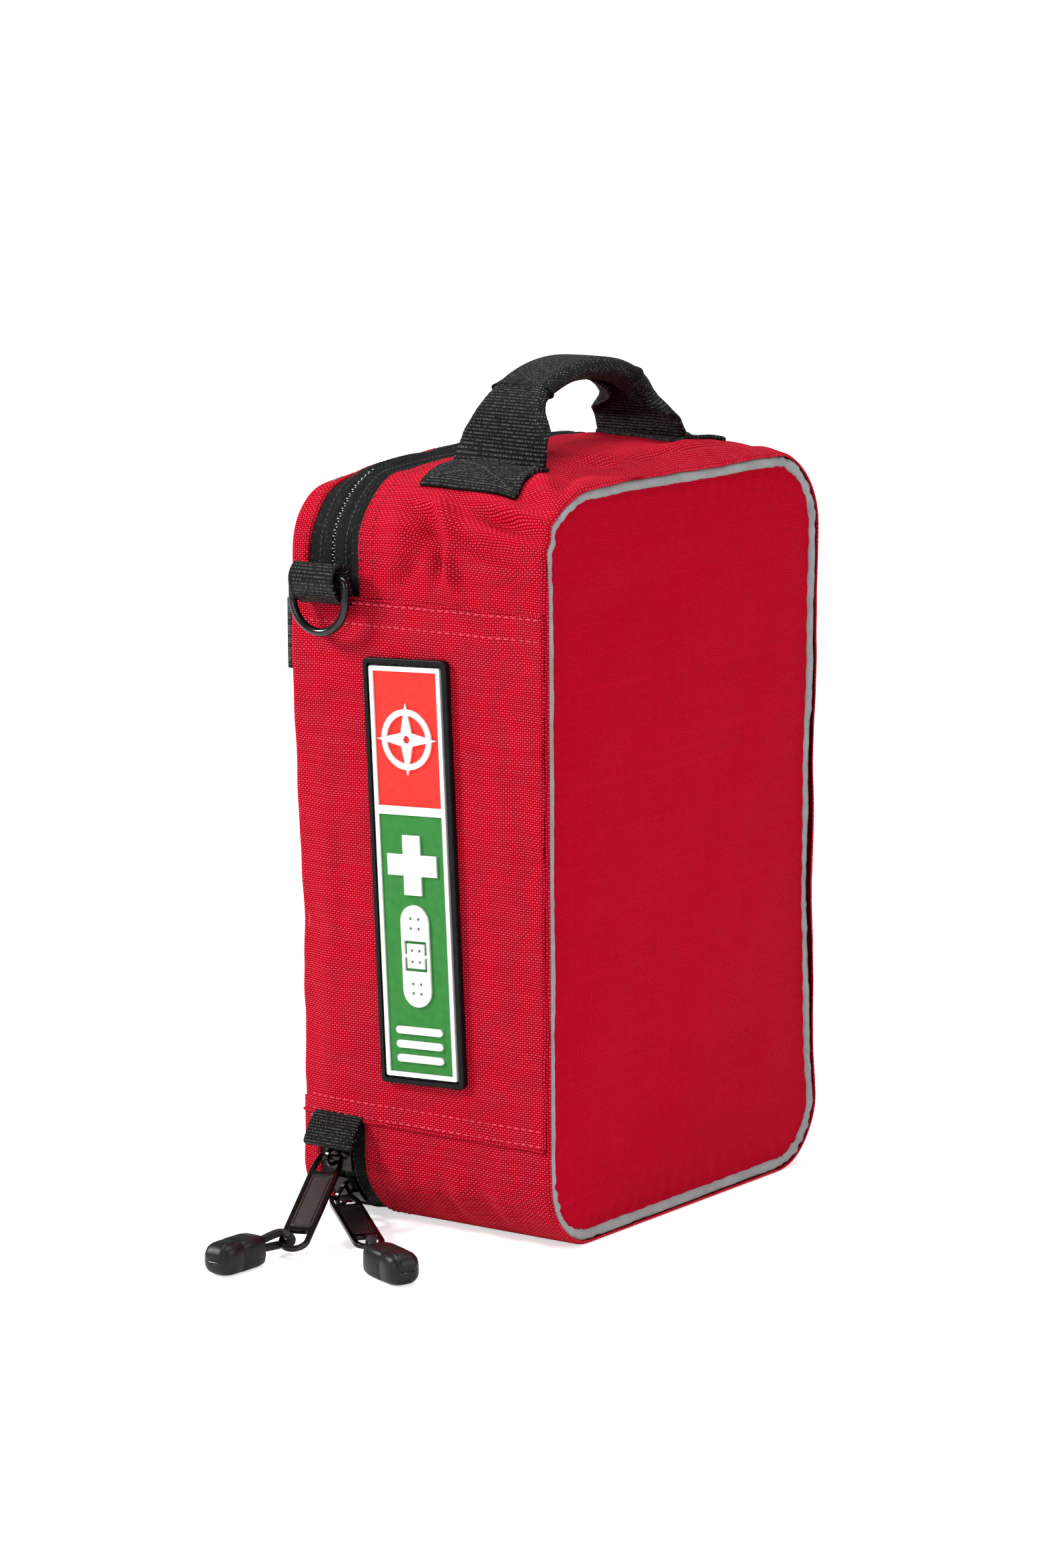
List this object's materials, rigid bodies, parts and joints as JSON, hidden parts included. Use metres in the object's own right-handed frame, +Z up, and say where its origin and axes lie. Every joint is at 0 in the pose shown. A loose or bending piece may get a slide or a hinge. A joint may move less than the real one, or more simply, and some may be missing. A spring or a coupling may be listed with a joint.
{
  "type": "first aid kit",
  "caption": "Upright soft zipped case with carry handle, side patch, D-ring and belt webbing, holding bandages, dressings and small tools.",
  "frame": {"origin": "middle of the flat underside, where the case stands", "axes": "+Z up, -Y out of the plain front panel, +Y out of the zipped back panel, -X towards the side with the patch and the zip ends"},
  "size_m": [0.2561, 0.1114, 0.3054],
  "materials": {
    "red_fabric": "plain weave with a light coating",
    "black_webbing": "ribbed webbing",
    "grip_fabric": "fine weave",
    "zip_tape": "herringbone tape",
    "zip_coil": "moulded coil",
    "piping": "reflective film",
    "foam": "closed-cell foam",
    "lining": "thin plain weave",
    "stiffener": "thin sheet",
    "black_binding": "ribbed tape",
    "net": "open net",
    "elastic": "woven elastic",
    "black_rubber": "matt",
    "white_rubber": "matt",
    "red_rubber": "matt",
    "green_rubber": "matt",
    "gloss_black_wire": "gloss",
    "black_nickel": "black nickel",
    "cord": "braided",
    "black_moulding": "fine texture",
    "printed_paper": "folded",
    "foil_pouch": "creased film",
    "carton": "folded carton",
    "gauze_paper": "sealed sleeve",
    "sling_wrap": "clear film over cotton",
    "gauze": "open weave",
    "bottle_plastic": "semi-clear",
    "cap_plastic": "ribbed",
    "sticking_plaster": "fine weave",
    "steel": "brushed"
  },
  "bodies": {
    "main_shell": {"front_panel": "red_fabric", "front_foam": "foam", "front_lining": "lining", "front_piping": "piping", "side_gusset": "red_fabric", "gusset_foam": "foam", "gusset_lining": "lining", "side_panel": "red_fabric", "side_stiffener": "stiffener", "zip_tape_front": "zip_tape", "zip_coil_front": "zip_coil", "zip_tape_ends": "zip_tape", "zip_coil_ends": "zip_coil", "back_strip_ends": "red_fabric", "patch_base": "black_rubber", "patch_frame": "white_rubber", "patch_red_field": "red_rubber", "patch_green_field": "green_rubber", "patch_symbols": "white_rubber", "ring_loop": "black_webbing", "grab_tab": "black_webbing", "handle_anchors": "black_webbing", "divider": "lining", "divider_binding": "black_binding", "elastic_bands": "elastic", "foil_blanket": "foil_pouch", "plaster_box": "carton", "gauze_packs": "gauze_paper", "sling_pack": "sling_wrap", "bandage_rolls": "gauze", "antiseptic_bottle": "bottle_plastic", "plaster_tape": "sticking_plaster", "tweezers": "steel", "scissors_blade_a": "steel", "scissors_rivet": "steel"},
    "lid": {"back_strip": "red_fabric", "zip_tape_back": "zip_tape", "zip_coil_back": "zip_coil", "back_panel": "red_fabric", "lid_foam": "foam", "lid_lining": "lining", "belt_rows": "black_webbing", "lid_pocket": "net", "lid_pocket_binding": "black_binding", "leaflet": "printed_paper"},
    "handle": {"handle_strap": "black_webbing", "handle_grip": "grip_fabric"},
    "ring": {"d_ring": "gloss_black_wire"},
    "cap": {"bottle_cap": "cap_plastic"},
    "scissors_arm": {"scissors_blade_b": "steel"},
    "slider_low": {"slider_2": "black_nickel", "slider_crown_2": "black_nickel"},
    "slider_high": {"slider_1": "black_nickel", "slider_crown_1": "black_nickel"},
    "pull_high": {"pull_1": "black_nickel", "cord_1": "cord"},
    "pull_low": {"pull_2": "black_nickel", "cord_2": "cord"},
    "toggle_high": {"cord_end_1": "black_moulding"},
    "toggle_low": {"cord_end_2": "black_moulding"}
  },
  "joints": [
    {"name": "lid_hinge", "type": "hinge", "parent": "main_shell", "child": "lid", "pos_m": [-0.0864, 0.0555, 0.1325], "axis": [0, 0, 1], "range_deg": [0, 170]},
    {"name": "handle_swing", "type": "hinge", "parent": "main_shell", "child": "handle", "pos_m": [-0.01, -0.01275, 0.2674], "axis": [1, 0, 0], "range_deg": [-28, 28]},
    {"name": "ring_swing", "type": "hinge", "parent": "main_shell", "child": "ring", "pos_m": [-0.093, 0.037, 0.231], "axis": [0, 1, 0], "range_deg": [-8, 150]},
    {"name": "cap_turn", "type": "hinge", "parent": "main_shell", "child": "cap", "pos_m": [0.0345, 0.005, 0.106], "axis": [0, 0, 1], "range_deg": [0, 360]},
    {"name": "scissors_pivot", "type": "hinge", "parent": "main_shell", "child": "scissors_arm", "pos_m": [0.012, -0.00235, 0.185], "axis": [0, -1, 0], "range_deg": [0, 45]},
    {"name": "slider_high_travel", "type": "hinge", "parent": "main_shell", "child": "slider_high", "pos_m": [-0.06, 0.0363, 0.026], "axis": [0, -1, 0], "range_deg": [0, 5]},
    {"name": "pull_high_swing", "type": "hinge", "parent": "slider_high", "child": "pull_high", "pos_m": [-0.09066, 0.0363, 0.02439], "axis": [-0.3509, 0.9364, 0], "range_deg": [-15, 30]},
    {"name": "toggle_high_bend", "type": "hinge", "parent": "pull_high", "child": "toggle_high", "pos_m": [-0.1509, 0.02557, 0.0061], "axis": [0, 0, 1], "range_deg": [-30, 30]},
    {"name": "slider_low_travel", "type": "hinge", "parent": "main_shell", "child": "slider_low", "pos_m": [-0.06, 0.0363, 0.026], "axis": [0, -1, 0], "range_deg": [-1, 30]},
    {"name": "pull_low_swing", "type": "hinge", "parent": "slider_low", "child": "pull_low", "pos_m": [-0.08515, 0.0363, 0.00839], "axis": [-0.7556, 0.6551, 0], "range_deg": [-60, 12]},
    {"name": "toggle_low_bend", "type": "hinge", "parent": "pull_low", "child": "toggle_low", "pos_m": [-0.13483, -0.01863, 0.0061], "axis": [0, 0, 1], "range_deg": [-30, 30]}
  ]
}
